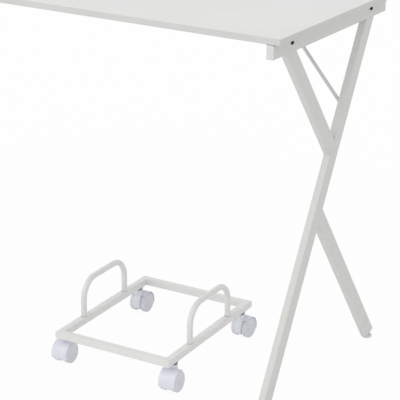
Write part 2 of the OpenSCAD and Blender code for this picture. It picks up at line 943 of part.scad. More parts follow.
// One of the stand's tubes along +x, mitred at both ends, with its outer side on y = 0
module mitred_tube(len) {
    intersection() {
        translate([0, stand_tube / 2, stand_h - stand_tube / 2]) rotate([90, 0, 90])
            linear_extrude(len) tube_section(stand_tube, stand_tube, stand_tube_r);
        linear_extrude(stand_h + 1) polygon([
            [0, 0], [len, 0], [len - stand_tube, stand_tube], [stand_tube, stand_tube]
        ]);
    }
}

// Holes for the castors' stems in the underside of the side rails
module stem_holes() {
    for (p = stem_places) translate([p[0], p[1], stand_bottom - 1])
        cylinder(r = stem_r + hole_gap, h = 1 + tube_wall * 2);
}

module stand_front_rail() {
    color(coat_white) on_stand() mitred_tube(stand_w);
}

module stand_back_rail() {
    color(coat_white) on_stand() translate([stand_w, stand_d, 0]) rotate([0, 0, 180])
        mitred_tube(stand_w);
}

module stand_left_rail() {
    color(coat_white) on_stand() difference() {
        translate([0, stand_d, 0]) rotate([0, 0, -90]) mitred_tube(stand_d);
        stem_holes();
    }
}

module stand_right_rail() {
    color(coat_white) on_stand() difference() {
        translate([stand_w, 0, 0]) rotate([0, 0, 90]) mitred_tube(stand_d);
        stem_holes();
    }
}

// Solid or bore of a hoop: two legs, two bends and a straight top, in the plane x = 0
module hoop_run(r, sink) {
    half = hoop_span / 2;
    top = hoop_h - hoop_d / 2;
    for (s = [-1, 1]) {
        translate([0, s * half, -sink]) cylinder(r = r, h = top - hoop_r + sink);
        translate([0, s * (half - hoop_r), top - hoop_r]) rotate([90, 0, s * 90])
            rotate_extrude(angle = 90) translate([hoop_r, 0]) circle(r);
    }
    translate([0, hoop_r - half, top]) rotate([-90, 0, 0])
        cylinder(r = r, h = 2 * (half - hoop_r));
}

module hoop() {
    translate([0, stand_d / 2, stand_h]) difference() {
        hoop_run(hoop_d / 2, 0);
        hoop_run(hoop_d / 2 - hoop_wall, 1);
    }
}

module stand_left_hoop() {
    color(coat_white) on_stand() translate([stand_tube / 2, 0, 0]) hoop();
}

module stand_right_hoop() {
    color(coat_white) on_stand() translate([stand_w - stand_tube / 2, 0, 0]) hoop();
}

// Castors

// Places a piece on castor i, with the stem's axis at x = 0, y = 0 and the wheels along +y
module on_castor(i) {
    on_stand() translate([stem_places[i][0], stem_places[i][1], 0])
        rotate([0, 0, castor_turns[i]]) children();
}

// Threaded stem with a hexagonal collar, a washer above it and the swivel pin below it
module castor_stem() {
    thread_top = stand_bottom + tube_wall + nut_h;
    translate([0, 0, collar_bottom]) {
        cylinder(d = collar_flats / cos(30), h = collar_h, $fn = 6);
        cylinder(r = stem_r, h = thread_top - collar_bottom);
    }
    translate([0, 0, pivot_bottom]) cylinder(r = pivot_r, h = collar_bottom - pivot_bottom);
}

module stem_washer() {
    translate([0, 0, stand_bottom - washer_t]) difference() {
        cylinder(r = washer_r, h = washer_t);
        translate([0, 0, -1]) cylinder(r = stem_r + thread_gap, h = washer_t + 2);
    }
}

module castor_stems() {
    color(steel) for (i = [0:3]) on_castor(i) {
        castor_stem();
        stem_washer();
    }
}

// Round nuts welded inside the stand's side rails
module stem_nuts() {
    color(steel) on_stand() for (p = stem_places)
        translate([p[0], p[1], stand_bottom + tube_wall]) difference() {
            cylinder(r = nut_r, h = nut_h);
            translate([0, 0, -1]) cylinder(r = stem_r + thread_gap, h = nut_h + 2);
        }
}

// Extrudes a flat shape drawn about the axle, with the given width across the castor. In the
// shape x runs back from the axle, away from the stem, and y up
module across(width) {
    translate([0, trail, wheel_r]) rotate([90, 0, 90]) translate([0, 0, -width / 2])
        linear_extrude(width) children();
}

// Section of the hood over the wheels: a ring, cut level at its low end and along a radius above
// the stem's side
module hood_section() {
    low = hood_low - wheel_r;
    intersection() {
        difference() {
            circle(hood_out, $fn = 96);
            circle(hood_in, $fn = 96);
        }
        polygon([
            [0, 0], [0, low], [far, low], [far, far], [cos(hood_to) * far, sin(hood_to) * far]
        ]);
    }
}

// Section of the body between the wheels: a disc cut level, this far below the axle
module body_section(r, depth) {
    intersection() {
        circle(r, $fn = 96);
        translate([-far / 2, -depth]) square([far, far]);
    }
}

// Upright post that holds the stem's pin and ends as the castor's neck
module stem_post() {
    translate([0, 0, post_bottom]) cylinder(r = neck_r, h = neck_top - post_bottom);
}

// Castor body: a hollow body between the wheels, open below, with the hood, the stem's post and
// the axle's boss
module hood() {
    depth = wheel_r - body_low;
    color(castor_white) difference() {
        union() {
            across(hood_w) hood_section();
            across(body_w) body_section(hood_out, depth);
            stem_post();
        }
        difference() {
            across(body_w - 2 * body_wall) body_section(hood_in, depth + 1);
            stem_post();
            across(body_w) circle(hub_r);
        }
        translate([0, 0, pivot_bottom - 0.3])
            cylinder(r = pivot_r + thread_gap, h = neck_top - pivot_bottom + 1);
        across(2 * wheel_out) circle(axle_r + thread_gap);
    }
}

// Half section of a wheel as [radius, distance from the castor's middle]: a tread, a dished
// outer face, and a hub that runs on the axle and bears on the body
module wheel_profile() {
    hub_in = body_w / 2 + wheel_side_gap / 2;
    rim = 3.2;
    edge = 1.6;
    face = axle_end - 0.6;
    difference() {
        union() {
            translate([0, hub_in]) square([hub_r, wheel_out - hub_in]);
            translate([0, face]) square([wheel_r - edge, wheel_out - face]);
            translate([wheel_r - rim, wheel_gap / 2]) square([rim, wheel_w - edge]);
            translate([wheel_r - edge, wheel_out - edge]) circle(edge, $fn = 24);
        }
        translate([-1, hub_in - 1]) square([1 + axle_r + axle_gap, axle_end + 1.3 - hub_in]);
        translate([hub_r + 1, wheel_out - wheel_dish])
            square([wheel_r - rim - hub_r - 1, wheel_dish + 1]);
    }
}

// Ribs that join the hub to the rim behind a wheel's face
module wheel_ribs() {
    ribs = 6;
    rib_t = 1.2;
    from = wheel_gap / 2 + 1.5;
    for (i = [0:ribs - 1]) rotate([0, 0, i * 360 / ribs])
        translate([axle_r + 1, -rib_t / 2, from])
            cube([wheel_r - axle_r - 3, rib_t, axle_end - from]);
}

// side = 1 is the wheel on the castor's +x side
module wheel(side) {
    color(castor_white) translate([0, trail, wheel_r]) rotate([0, side * 90, 0]) {
        rotate_extrude($fn = 96) wheel_profile();
        wheel_ribs();
    }
}

module axle() {
    color(steel) across(2 * axle_end) circle(axle_r);
}

main_board();
corner_board();
return_board();
edge_bands();
joining_plates();
wood_screws();
right_top_rail();
right_long_leg();
right_upper_branch();
right_lower_branch();
right_brace();
return_top_rail();
return_long_leg();
return_upper_branch();
return_lower_branch();
return_brace();
rail_caps();
foot_plugs();
beam_bolts();
beam_plugs();
main_front_beam();
main_back_beam();
return_front_beam();
return_back_beam();
corner_rail();
corner_rear_leg();
corner_front_leg();
corner_gussets();
machine_screws();
right_front_foot();
right_back_foot();
return_front_foot();
return_back_foot();
corner_rear_foot();
corner_front_foot();
stand_front_rail();
stand_back_rail();
stand_left_rail();
stand_right_rail();
stand_left_hoop();
stand_right_hoop();
castor_stems();
stem_nuts();
on_castor(0) hood();  // front_left_hood
on_castor(1) hood();  // front_right_hood
on_castor(2) hood();  // back_right_hood
on_castor(3) hood();  // back_left_hood
on_castor(0) wheel(1);  // front_left_wheel_a
on_castor(0) wheel(-1);  // front_left_wheel_b
on_castor(0) axle();  // front_left_axle
on_castor(1) wheel(1);  // front_right_wheel_a
on_castor(1) wheel(-1);  // front_right_wheel_b
on_castor(1) axle();  // front_right_axle
on_castor(2) wheel(1);  // back_right_wheel_a
on_castor(2) wheel(-1);  // back_right_wheel_b
on_castor(2) axle();  // back_right_axle
on_castor(3) wheel(1);  // back_left_wheel_a
on_castor(3) wheel(-1);  // back_left_wheel_b
on_castor(3) axle();  // back_left_axle
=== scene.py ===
# %% [markdown]
# # A white l-shaped desk with a rolling tower stand
# The desk is three thin laminated boards on a frame of white steel tube, and a low stand on
# castors waits under the long wing. Every piece already has its place and size in the packed
# model, so this lesson dresses those pieces: it softens their edges, adds what is too fine for
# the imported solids, and gives each surface a finish made of nodes.

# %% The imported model
import json
import math

import bmesh
import bpy
from mathutils import Matrix, Vector
from mathutils.bvhtree import BVHTree
from mathutils.geometry import convex_hull_2d


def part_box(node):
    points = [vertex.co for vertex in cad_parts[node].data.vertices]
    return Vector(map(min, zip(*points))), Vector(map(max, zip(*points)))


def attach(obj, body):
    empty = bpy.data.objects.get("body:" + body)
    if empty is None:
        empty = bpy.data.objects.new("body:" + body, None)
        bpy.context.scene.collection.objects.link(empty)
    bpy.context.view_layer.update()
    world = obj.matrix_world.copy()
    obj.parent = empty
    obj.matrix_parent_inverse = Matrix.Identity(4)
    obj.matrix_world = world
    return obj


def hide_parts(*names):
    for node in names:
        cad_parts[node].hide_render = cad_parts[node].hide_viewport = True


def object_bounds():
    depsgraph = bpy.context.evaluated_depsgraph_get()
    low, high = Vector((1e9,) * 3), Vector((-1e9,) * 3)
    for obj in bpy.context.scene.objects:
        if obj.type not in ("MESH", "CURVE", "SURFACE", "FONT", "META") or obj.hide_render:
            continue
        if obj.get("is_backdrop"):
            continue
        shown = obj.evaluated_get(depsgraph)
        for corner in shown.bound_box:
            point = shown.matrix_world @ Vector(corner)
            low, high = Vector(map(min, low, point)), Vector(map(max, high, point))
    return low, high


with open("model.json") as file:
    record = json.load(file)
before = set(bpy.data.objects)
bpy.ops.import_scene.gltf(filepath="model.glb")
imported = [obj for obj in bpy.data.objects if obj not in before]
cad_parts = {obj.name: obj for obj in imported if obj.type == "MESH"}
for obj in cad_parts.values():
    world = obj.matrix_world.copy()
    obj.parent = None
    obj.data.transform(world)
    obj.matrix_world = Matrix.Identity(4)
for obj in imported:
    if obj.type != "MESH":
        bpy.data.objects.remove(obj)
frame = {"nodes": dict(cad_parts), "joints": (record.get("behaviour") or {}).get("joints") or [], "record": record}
record = frame["record"]
nodes = frame["nodes"]
slots = {part["node"]: part["material_slot"] for part in record["subparts"]}
bodies = record["behaviour"]["bodies"]
body_of = {node: body for body, names in bodies.items() for node in names}
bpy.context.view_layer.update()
mm = 0.001

# %% [markdown]
# ## The camera
# The photograph looks down on the outer part of the long wing from the front right. Its
# perspective is mild, so the lens is long. A camera can be aimed with a Track To constraint, but
# plain turns are easier to read: tip it down from level, turn it about the vertical, then roll it.

# %% Camera
camera_place = Vector((2.0123, -2.2225, 1.4268))
camera_turn = math.radians(31.685)
camera_dip = math.radians(20.157)
camera_roll = math.radians(0.363)
camera_lens = 138.6
camera_sensor = 36

camera_data = bpy.data.cameras.new("camera")
camera_data.sensor_width = camera_sensor
camera_data.lens = camera_lens
camera = bpy.data.objects.new("camera", camera_data)
bpy.context.scene.collection.objects.link(camera)
camera.matrix_world = (
    Matrix.Translation(camera_place)
    @ Matrix.Rotation(camera_turn, 4, "Z")
    @ Matrix.Rotation(math.pi / 2 - camera_dip, 4, "X")
    @ Matrix.Rotation(camera_roll, 4, "Z")
)
bpy.context.scene.camera = camera
bpy.context.scene.view_settings.view_transform = "Standard"
print("camera", round(camera_lens), "mm, at", tuple(round(c, 2) for c in camera_place))

# %% [markdown]
# ## Node helpers
# A finish is a small tree of nodes. These helpers keep each tree short. They add a node with its
# settings, start a material, make a noise in real units, spread it between two values or two
# colours, turn it into a bump, and link what was made to the shader. All patterns read Object
# coordinates, which stay on the piece when it moves. A noise seldom leaves the range from 0.3 to
# 0.7, so that range is spread.

# %% Helpers for materials
noise_low = 0.3
noise_high = 0.7


def add(tree, kind, inputs=(), **settings):
    """Adds a node, sets its properties, and sets or links its inputs."""
    node = tree.nodes.new("ShaderNode" + kind)
    for name, value in settings.items():
        setattr(node, name, value)
    for name, value in dict(inputs).items():
        if isinstance(value, bpy.types.NodeSocket):
            tree.links.new(value, node.inputs[name])
        else:
            node.inputs[name].default_value = value
    return node


def start(name):
    """A new material with its tree, its shader and its Object coordinates."""
    material = bpy.data.materials.new(name)
    material.use_nodes = True
    tree = material.node_tree
    place = add(tree, "TexCoord").outputs["Object"]
    return material, tree, tree.nodes["Principled BSDF"], place


def noise(tree, place, size, stretch=(1, 1, 1), detail=2):
    """Noise whose blotches are about size metres across, longer along a stretched axis."""
    scale = tuple(1 / s for s in stretch)
    spread = add(tree, "Mapping", {"Vector": place, "Scale": scale}).outputs["Vector"]
    made = add(tree, "TexNoise", {"Vector": spread, "Scale": 1 / size, "Detail": detail})
    return made.outputs["Fac"]


def between(tree, factor, low, high, from_low=noise_low, from_high=noise_high):
    """Turns a factor into a value between low and high."""
    spread = add(tree, "MapRange", {
        "Value": factor, "From Min": from_low, "From Max": from_high,
        "To Min": low, "To Max": high,
    })
    return spread.outputs["Result"]


def tint(tree, factor, low, high):
    """Turns a noise into a colour between two colours."""
    ramp = add(tree, "ValToRGB", {"Fac": factor})
    ends = zip(ramp.color_ramp.elements, (noise_low, noise_high), (low, high))
    for end, position, colour in ends:
        end.position = position
        end.color = (*colour, 1)
    return ramp.outputs["Color"]


def bump(tree, height, depth, below=None):
    """A bump of the given depth in metres, on top of another one where it is given."""
    inputs = {"Height": height, "Distance": depth, "Strength": 1}
    if below is not None:
        inputs["Normal"] = below
    return add(tree, "Bump", inputs).outputs["Normal"]


def connect(tree, shader, **sockets):
    """Links made values to the shader's sockets, each named with _ for a space."""
    for name, value in sockets.items():
        tree.links.new(value, shader.inputs[name.replace("_", " ")])


print("helpers for materials ready")

# %% [markdown]
# ## White laminate
# The boards are particle board faced with printed melamine. The face is a near-white with a
# very fine pebble from the press plate, and slow changes in tone and gloss from wiping. Two
# noises of different size carry the gloss, and a third gives the pebble.

# %% Laminate
laminate_dark = (0.755, 0.755, 0.746)
laminate_light = (0.780, 0.780, 0.772)

laminate, tree, shader, place = start("laminate")
cloud = noise(tree, place, 180 * mm, detail=3)
fleck = noise(tree, place, 2.2 * mm, detail=3)
pebble = noise(tree, place, 0.9 * mm, detail=2)
connect(
    tree, shader,
    Base_Color=tint(tree, cloud, laminate_dark, laminate_light),
    Roughness=between(tree, fleck, 0.40, 0.52),
    Normal=bump(tree, pebble, 0.03 * mm),
)
print("made", laminate.name)

# %% [markdown]
# ## Edge band
# The band is a plastic strip, glued on hot and trimmed. It is a touch greyer and greener than
# the face, and the trimming leaves faint lines along it. The lines are a noise squeezed in
# height and drawn out along the board, the same on the edges that run the other way.

# %% Edge band
band_dark = (0.655, 0.660, 0.640)
band_light = (0.685, 0.690, 0.668)

edge_band, tree, shader, place = start("edge_strip")
lines = noise(tree, place, 0.7 * mm, stretch=(60, 60, 1), detail=2)
cloud = noise(tree, place, 90 * mm)
connect(
    tree, shader,
    Base_Color=tint(tree, cloud, band_dark, band_light),
    Roughness=between(tree, lines, 0.38, 0.50),
    Normal=bump(tree, lines, 0.02 * mm),
)
print("made", edge_band.name)

# %% [markdown]
# ## Powder coat
# Powder coat melts into a skin with a soft orange peel, and it thins over sharp edges, where
# handling dulls it first. The peel is a noise of a millimetre or two. A Bevel node finds the
# edges: where its rounded normal leaves the true one, the coat goes a little darker. The Mix
# node has sockets for several kinds of value under the same names, so they are picked by number:
# 0 is the factor, 6 and 7 are the two colours, and output 2 is the mixed colour.

# %% Powder coat
edge_reach = 1.2 * mm
worn_coat = (0.62, 0.62, 0.61, 1)


def edges(tree, radius):
    """A factor that is 0 on flat places and rises at edges closer than radius."""
    rounded = add(tree, "Bevel", {"Radius": radius}, samples=6).outputs["Normal"]
    true = add(tree, "NewGeometry").outputs["Normal"]
    dot = add(tree, "VectorMath", {0: rounded, 1: true}, operation="DOT_PRODUCT")
    return between(tree, dot.outputs["Value"], 1, 0, from_low=0.85, from_high=1.0)


def powder_coat(name, light, dark):
    """A powder coat with an orange peel and worn edges."""
    material, tree, shader, place = start(name)
    peel = noise(tree, place, 1.6 * mm, detail=2)
    grit = noise(tree, place, 0.4 * mm, detail=1)
    cloud = noise(tree, place, 60 * mm, detail=3)
    worn = add(tree, "Math", {0: edges(tree, edge_reach), 1: cloud}, operation="MULTIPLY")
    coat = add(tree, "Mix", {
        0: worn.outputs["Value"], 6: tint(tree, cloud, dark, light), 7: worn_coat,
    }, data_type="RGBA")
    connect(
        tree, shader,
        Base_Color=coat.outputs[2],
        Roughness=between(tree, cloud, 0.34, 0.44),
        Normal=bump(tree, grit, 0.01 * mm, bump(tree, peel, 0.05 * mm)),
    )
    return material


desk_coat = powder_coat("desk_coat", (0.715, 0.710, 0.690), (0.692, 0.687, 0.668))
# The stand's copy of the white coat is lighter: painted light that makes up for the shade of the boards above the
# stand.
stand_coat = powder_coat("stand_coat", (0.825, 0.830, 0.812), (0.803, 0.808, 0.790))
print("made", desk_coat.name, "and", stand_coat.name)

# %% [markdown]
# ## Moulded plastic
# Caps, plugs and pads are white moulded plastic with an even, dull grain. The castors' hoods are
# a bluish, glossier nylon. The wheels are a greyer copy of it, painted shade, and a near-black
# plastic paints the shade inside the wheels, under the boards and round the hoops' feet. All
# carry faint flow marks, so one function makes them with different colours, grain and dullness.

# %% Plastics
def plastic(name, light, dark, dull, grain):
    """A moulded plastic with flow marks and a fine grain."""
    material, tree, shader, place = start(name)
    flow = noise(tree, place, 14 * mm, stretch=(1, 1, 3), detail=3)
    skin = noise(tree, place, grain, detail=2)
    connect(
        tree, shader,
        Base_Color=tint(tree, flow, dark, light),
        Roughness=between(tree, skin, dull, dull + 0.12),
        Normal=bump(tree, skin, 0.02 * mm),
    )
    return material


cap_plastic = plastic(
    "white_plastic", (0.755, 0.758, 0.765), (0.730, 0.733, 0.740), dull=0.38, grain=0.5 * mm)
castor_plastic = plastic(
    "bluish_nylon", (0.815, 0.83, 0.91), (0.785, 0.80, 0.88), dull=0.28, grain=0.8 * mm)
# Painted shade: a near-black for the shade inside the wheels, under the boards and at the hoops' feet.
shade_black = plastic(
    "dark_nylon", (0.055, 0.055, 0.060), (0.040, 0.040, 0.045), dull=0.42, grain=0.6 * mm)
# Painted shade: the wheels take a greyer copy of the hood nylon, for the shade on their faces.
wheel_plastic = plastic(
    "wheel_plastic", (0.765, 0.775, 0.825), (0.735, 0.745, 0.795), dull=0.34, grain=0.6 * mm)
print("made", cap_plastic.name, castor_plastic.name, wheel_plastic.name, shade_black.name)

# %% [markdown]
# ## Zinc and steel
# Zinc plating is a soft silver with small cloudy crystals, bare steel is darker and uneven, and
# the bolts are blackened steel. All are metals, so Metallic is 1 and the pattern goes to colour
# and roughness.

# %% Metals
def metal(name, light, dark, dull):
    """A bare or plated metal with a cloudy pattern."""
    material, tree, shader, place = start(name)
    shader.inputs["Metallic"].default_value = 1
    crystal = noise(tree, place, 1.8 * mm, detail=4)
    cloud = noise(tree, place, 9 * mm, detail=2)
    connect(
        tree, shader,
        Base_Color=tint(tree, crystal, dark, light),
        Roughness=between(tree, cloud, dull, dull + 0.15),
        Normal=bump(tree, crystal, 0.01 * mm),
    )
    return material


zinc = metal("zinc", (0.68, 0.69, 0.71), (0.52, 0.53, 0.55), dull=0.26)
steel = metal("steel", (0.34, 0.34, 0.35), (0.22, 0.22, 0.23), dull=0.34)
black_steel = metal("black_oxide", (0.045, 0.045, 0.050), (0.025, 0.025, 0.028), dull=0.40)
print("made", zinc.name, steel.name, black_steel.name)

# %% [markdown]
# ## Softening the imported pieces
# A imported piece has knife-sharp edges, and nothing real has. Each piece is copied, its loose
# triangles are merged and its flat faces joined again, and a bevel then rounds every edge where
# two faces meet at an angle. The rounding is done on the copy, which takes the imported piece's
# place and rides on the same body. Smooth shading across a rounded edge would tint the large
# faces beside it, so those are shaded flat.

# %% Helpers for softening
same_place = 0.002 * mm
same_plane = math.radians(0.5)
packed_sharp = math.radians(25)


def show(name, mesh, material, body):
    """Puts a finished mesh, with its place in its vertices, on a body."""
    mesh.materials.clear()
    mesh.materials.append(material)
    piece = bpy.data.objects.new(name, mesh)
    bpy.context.scene.collection.objects.link(piece)
    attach(piece, body)
    return piece


def shade(mesh, sharp=math.radians(38)):
    """Smooth shading that keeps edges steeper than the given angle sharp."""
    mesh.shade_smooth()
    mesh.set_sharp_from_angle(angle=sharp)


def flatten(mesh, width=2.5 * mm):
    """Flat shading on the faces wider than width."""
    for face in mesh.polygons:
        corners = [mesh.vertices[i].co for i in face.vertices]
        around = sum((one - two).length for one, two in zip(corners, corners[1:] + corners[:1]))
        face.use_smooth = face.area < width * around / 2


def rounded(shape, width, angle=math.radians(30)):
    """Bevels every edge of a shape that is sharper than the angle."""
    sharp = [e for e in shape.edges if len(e.link_faces) == 2 and e.calc_face_angle() > angle]
    bmesh.ops.bevel(
        shape, geom=sharp, offset=width, offset_type="OFFSET", affect="EDGES",
        segments=2, profile=0.5, material=-1, clamp_overlap=True,
    )
    return shape


def softened(node, width, material):
    """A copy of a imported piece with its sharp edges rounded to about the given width."""
    mesh = nodes[node].data.copy()
    shape = bmesh.new()
    shape.from_mesh(mesh)
    bmesh.ops.remove_doubles(shape, verts=shape.verts, dist=same_place)
    bmesh.ops.dissolve_limit(
        shape, angle_limit=same_plane, verts=shape.verts, edges=shape.edges,
        use_dissolve_boundaries=False,
    )
    rounded(shape, width, packed_sharp).to_mesh(mesh)
    shape.free()
    shade(mesh)
    if slots[node] != "castor_plastic":
        flatten(mesh)
    piece = show(node + "_soft", mesh, material, body_of[node])
    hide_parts(node)


print("helpers for softening ready")

# %% [markdown]
# Wheels, feet, screws and bolts are modelled anew further down. All the other pieces are
# softened here. The width of the rounding goes with the material, and the moulded caps of the
# rails have a wider one.

# %% Softened copies
finish_of = {
    "board_laminate": laminate, "edge_band": edge_band, "white_powder_coat": desk_coat,
    "cap_plastic": cap_plastic, "castor_plastic": castor_plastic,
    "zinc_plated_steel": zinc, "plain_steel": steel, "black_steel": black_steel,
}
soft_width = {
    "board_laminate": 0.12 * mm, "edge_band": 0.35 * mm, "white_powder_coat": 0.35 * mm,
    "cap_plastic": 0.4 * mm, "castor_plastic": 0.4 * mm,
    "zinc_plated_steel": 0.25 * mm, "plain_steel": 0.25 * mm, "black_steel": 0.25 * mm,
}
cap_edge = 1.1 * mm
remodelled = {n for n in nodes if "_wheel_" in n or n.endswith(("_foot", "_screws", "_bolts"))}
for node in sorted(set(nodes) - remodelled):
    # The stand's pieces take the lighter copy of the coat, which is painted light.
    material = stand_coat if node.startswith("stand_") else finish_of[slots[node]]
    softened(node, cap_edge if node == "rail_caps" else soft_width[slots[node]], material)
print("softened", len(nodes) - len(remodelled), "pieces")

# %% [markdown]
# ## Turned shapes
# Wheels, feet and screws are round, and the tool for a round shape is the spin: a profile of a
# few points is swept once about an axis, and its two ends are merged. The profile here is a list
# of pairs, a radius and a distance along the axis, in millimetres, as on a turner's drawing.
# Hexagons and slabs go with them.

# %% Helpers for turned shapes
def turned(profile, steps=64):
    """A solid of revolution from (radius, height) pairs that start and end on the axis.

    A ring's pairs end where they start.
    """
    shape = bmesh.new()
    points = [shape.verts.new((r * mm, 0, z * mm)) for r, z in profile]
    for one, two in zip(points, points[1:]):
        shape.edges.new((one, two))
    bmesh.ops.spin(
        shape, geom=shape.verts[:] + shape.edges[:], cent=(0, 0, 0), axis=(0, 0, 1),
        angle=2 * math.pi, steps=steps, use_merge=True,
    )
    bmesh.ops.remove_doubles(shape, verts=shape.verts, dist=same_place)
    bmesh.ops.recalc_face_normals(shape, faces=shape.faces)
    return shape


def prism(sides, radius, low, high):
    """An upright prism about the Z axis, in millimetres."""
    shape = bmesh.new()
    bmesh.ops.create_circle(shape, cap_ends=True, segments=sides, radius=radius * mm)
    bmesh.ops.translate(shape, vec=(0, 0, low * mm), verts=shape.verts)
    made = bmesh.ops.extrude_face_region(shape, geom=shape.faces[:])["geom"]
    top = [v for v in made if isinstance(v, bmesh.types.BMVert)]
    bmesh.ops.translate(shape, vec=(0, 0, (high - low) * mm), verts=top)
    bmesh.ops.recalc_face_normals(shape, faces=shape.faces)
    return shape


def slab(size):
    """A box of the given size, in metres, about the origin."""
    shape = bmesh.new()
    bmesh.ops.create_cube(shape, size=1)
    bmesh.ops.scale(shape, vec=size, verts=shape.verts)
    return shape


def gathered(name, shapes):
    """One mesh from several (shape, matrix) pairs, which are used up."""
    whole = bmesh.new()
    for shape, matrix in shapes:
        part = bpy.data.meshes.new("part")
        shape.to_mesh(part)
        part.transform(matrix)
        whole.from_mesh(part)
        bpy.data.meshes.remove(part)
    mesh = bpy.data.meshes.new(name)
    whole.to_mesh(mesh)
    whole.free()
    shade(mesh)
    return mesh


print("helpers for turned shapes ready")

# %% [markdown]
# ## Castor wheels
# Each castor has two moulded wheels. A wheel is a tread with a soft shoulder, a thin face with a
# shallow dish and a raised hub, and behind the face six ribs that tie the hub to the rim. The
# packed wheel has all of these with sharp edges. Here the profile carries small radii, and the
# ribs are bevelled slabs. The shade low on the inside of each left wheel is painted: a dark
# lining with the ribs is a second mesh, which lies just inside the first.

# %% Wheel
wheel_profile = [
    (0, 16.9), (2.52, 16.9), (2.52, 8.2), (4.7, 8.2), (5.0, 8.5), (5.0, 14.6), (5.6, 15.4),
    (6.6, 15.7), (17.4, 15.7), (18.4, 15.3), (18.8, 14.4), (18.8, 8.8), (19.1, 8.5),
    (21.5, 8.5), (21.9, 8.9), (22.0, 9.6), (22.0, 16.4), (21.86, 17.3), (21.4, 18.2),
    (20.7, 18.7), (19.9, 18.9), (19.2, 18.9), (18.75, 18.75), (18.4, 18.35), (18.0, 18.15),
    (17.4, 18.1), (7.4, 18.1), (6.8, 18.2), (6.4, 18.5), (6.0, 18.85), (5.5, 19.0),
    (4.0, 19.0), (3.7, 18.8), (3.5, 18.8), (3.2, 19.0), (0, 19.15),
]
shade_lining_profile = [
    (5.1, 8.6), (5.1, 14.6), (5.7, 15.3), (6.6, 15.6), (17.4, 15.6), (18.3, 15.2), (18.7, 14.4),
    (18.7, 8.7), (19.0, 8.4), (21.3, 8.4), (21.7, 8.75), (21.5, 9.2), (19.1, 9.2), (19.1, 15.0),
    (17.6, 16.0), (6.4, 16.0), (4.9, 15.0), (4.9, 8.6), (5.1, 8.6),
]
wheel_steps = 72
ribs = 6
rib_size = Vector((14.4, 1.2, 5.6)) * mm
rib_place = Vector((11.9, 0, 13.0)) * mm
rib_edge = 0.25 * mm


def wheel_shade_lining():
    """The painted shade inside a wheel: a dark lining and the ribs."""
    shapes = [(turned(shade_lining_profile, wheel_steps), Matrix.Identity(4))]
    for i in range(ribs):
        turn = Matrix.Rotation(2 * math.pi * i / ribs, 4, "Z")
        shapes.append((rounded(slab(rib_size), rib_edge), turn @ Matrix.Translation(rib_place)))
    return gathered("core", shapes)


wheel_mesh = gathered("wheel", [(turned(wheel_profile, wheel_steps), Matrix.Identity(4))])
shade_lining_mesh = wheel_shade_lining()
print("a wheel has", len(wheel_mesh.polygons) + len(shade_lining_mesh.polygons), "faces")

# %% [markdown]
# A joint in the imported record gives each wheel's place and axis. The wheel's own axis is turned
# onto the joint's, outward on each side. The place goes into the mesh, because a finished piece
# keeps its object at the origin.

# %% Wheels in place
# Each wheel's second mesh is its painted shade, in the near-black plastic.
wheel_parts = (("_fine", wheel_mesh, wheel_plastic), ("_core", shade_lining_mesh, shade_black))
for joint in frame["joints"]:
    if not joint["name"].endswith("_roll") or "_wheel_" not in joint["name"]:
        continue
    node = joint["name"].removesuffix("_roll")
    outward = Vector(joint["axis"]) * (1 if node.endswith("_a") else -1)
    aim = outward.to_track_quat("Z", "Y").to_matrix().to_4x4()
    for suffix, made, material in wheel_parts:
        mesh = made.copy()
        mesh.transform(Matrix.Translation(joint["pos_m"]) @ aim)
        piece = show(node + suffix, mesh, material, body_of[node])
        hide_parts(node)
bpy.data.meshes.remove(wheel_mesh)
bpy.data.meshes.remove(shade_lining_mesh)
print("eight wheels in place")

# %% [markdown]
# ## Levelling feet
# A foot is a moulded pad with a hexagon for a spanner, on a threaded stud. The thread shows when
# the foot is wound out. A thread is a spin that also climbs: a small triangle goes round the
# stud and rises one pitch with each turn, and its two open ends are filled.

# %% Foot
pad_profile = [
    (0, 0.5), (8.0, 0.5), (8.6, 0), (9.6, 0), (10.5, 0.35), (11.0, 1.3), (11.0, 4.2),
    (10.7, 5.2), (9.9, 5.85), (9.0, 6.0), (6.6, 6.0), (0, 6.0),
]
pad_top = 6
hexagon_r = 5.77
hexagon_low = 5.5
hexagon_top = 8.4
hexagon_edge = 0.4 * mm
stud_core_r = 2.55
stud_top = 24
stud_profile = [
    (0, pad_top), (stud_core_r, pad_top), (stud_core_r, 23.4), (2.0, stud_top), (0, stud_top),
]
thread_low = 8.2
thread_turns = 14
thread_pitch = 1
thread_steps = 20
ridge = [(2.4, 0.05), (2.4, 0.85), (2.98, 0.45)]


def thread():
    """A closed triangular ridge that winds up the stud."""
    shape = bmesh.new()
    corners = [shape.verts.new((r * mm, 0, (thread_low + z) * mm)) for r, z in ridge]
    face = shape.faces.new(corners)
    bmesh.ops.spin(
        shape, geom=face.verts[:] + face.edges[:], cent=(0, 0, 0), axis=(0, 0, 1),
        dvec=(0, 0, thread_pitch * mm / thread_steps), angle=2 * math.pi * thread_turns,
        steps=thread_steps * thread_turns,
    )
    bmesh.ops.holes_fill(shape, edges=shape.edges[:], sides=4)
    bmesh.ops.recalc_face_normals(shape, faces=shape.faces)
    return shape


def levelling_foot():
    """A foot on the floor, with its stud along the Z axis."""
    hexagon = rounded(prism(6, hexagon_r, hexagon_low, hexagon_top), hexagon_edge)
    parts = (turned(pad_profile), hexagon, turned(stud_profile, 32), thread())
    return gathered("foot", [(part, Matrix.Identity(4)) for part in parts])


foot_mesh = levelling_foot()
for node in sorted(n for n in nodes if n.endswith("_foot")):
    low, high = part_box(node)
    mesh = foot_mesh.copy()
    mesh.transform(Matrix.Translation(((low.x + high.x) / 2, (low.y + high.y) / 2, 0)))
    piece = show(node + "_fine", mesh, cap_plastic, body_of[node])
    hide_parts(node)
bpy.data.meshes.remove(foot_mesh)
print("six feet in place")

# %% [markdown]
# ## Screws
# The screws under the boards have rounded heads with a cross recess. A packed screw node holds
# many loose solids, so the first helper finds the box of each one, and the screws are set at
# those boxes. The recess is cut with a Boolean modifier on two throwaway objects, which suits a
# single small cut better than working out its faces. Its two bars cross each other, and the
# modifier copes with that once its use_self is on.

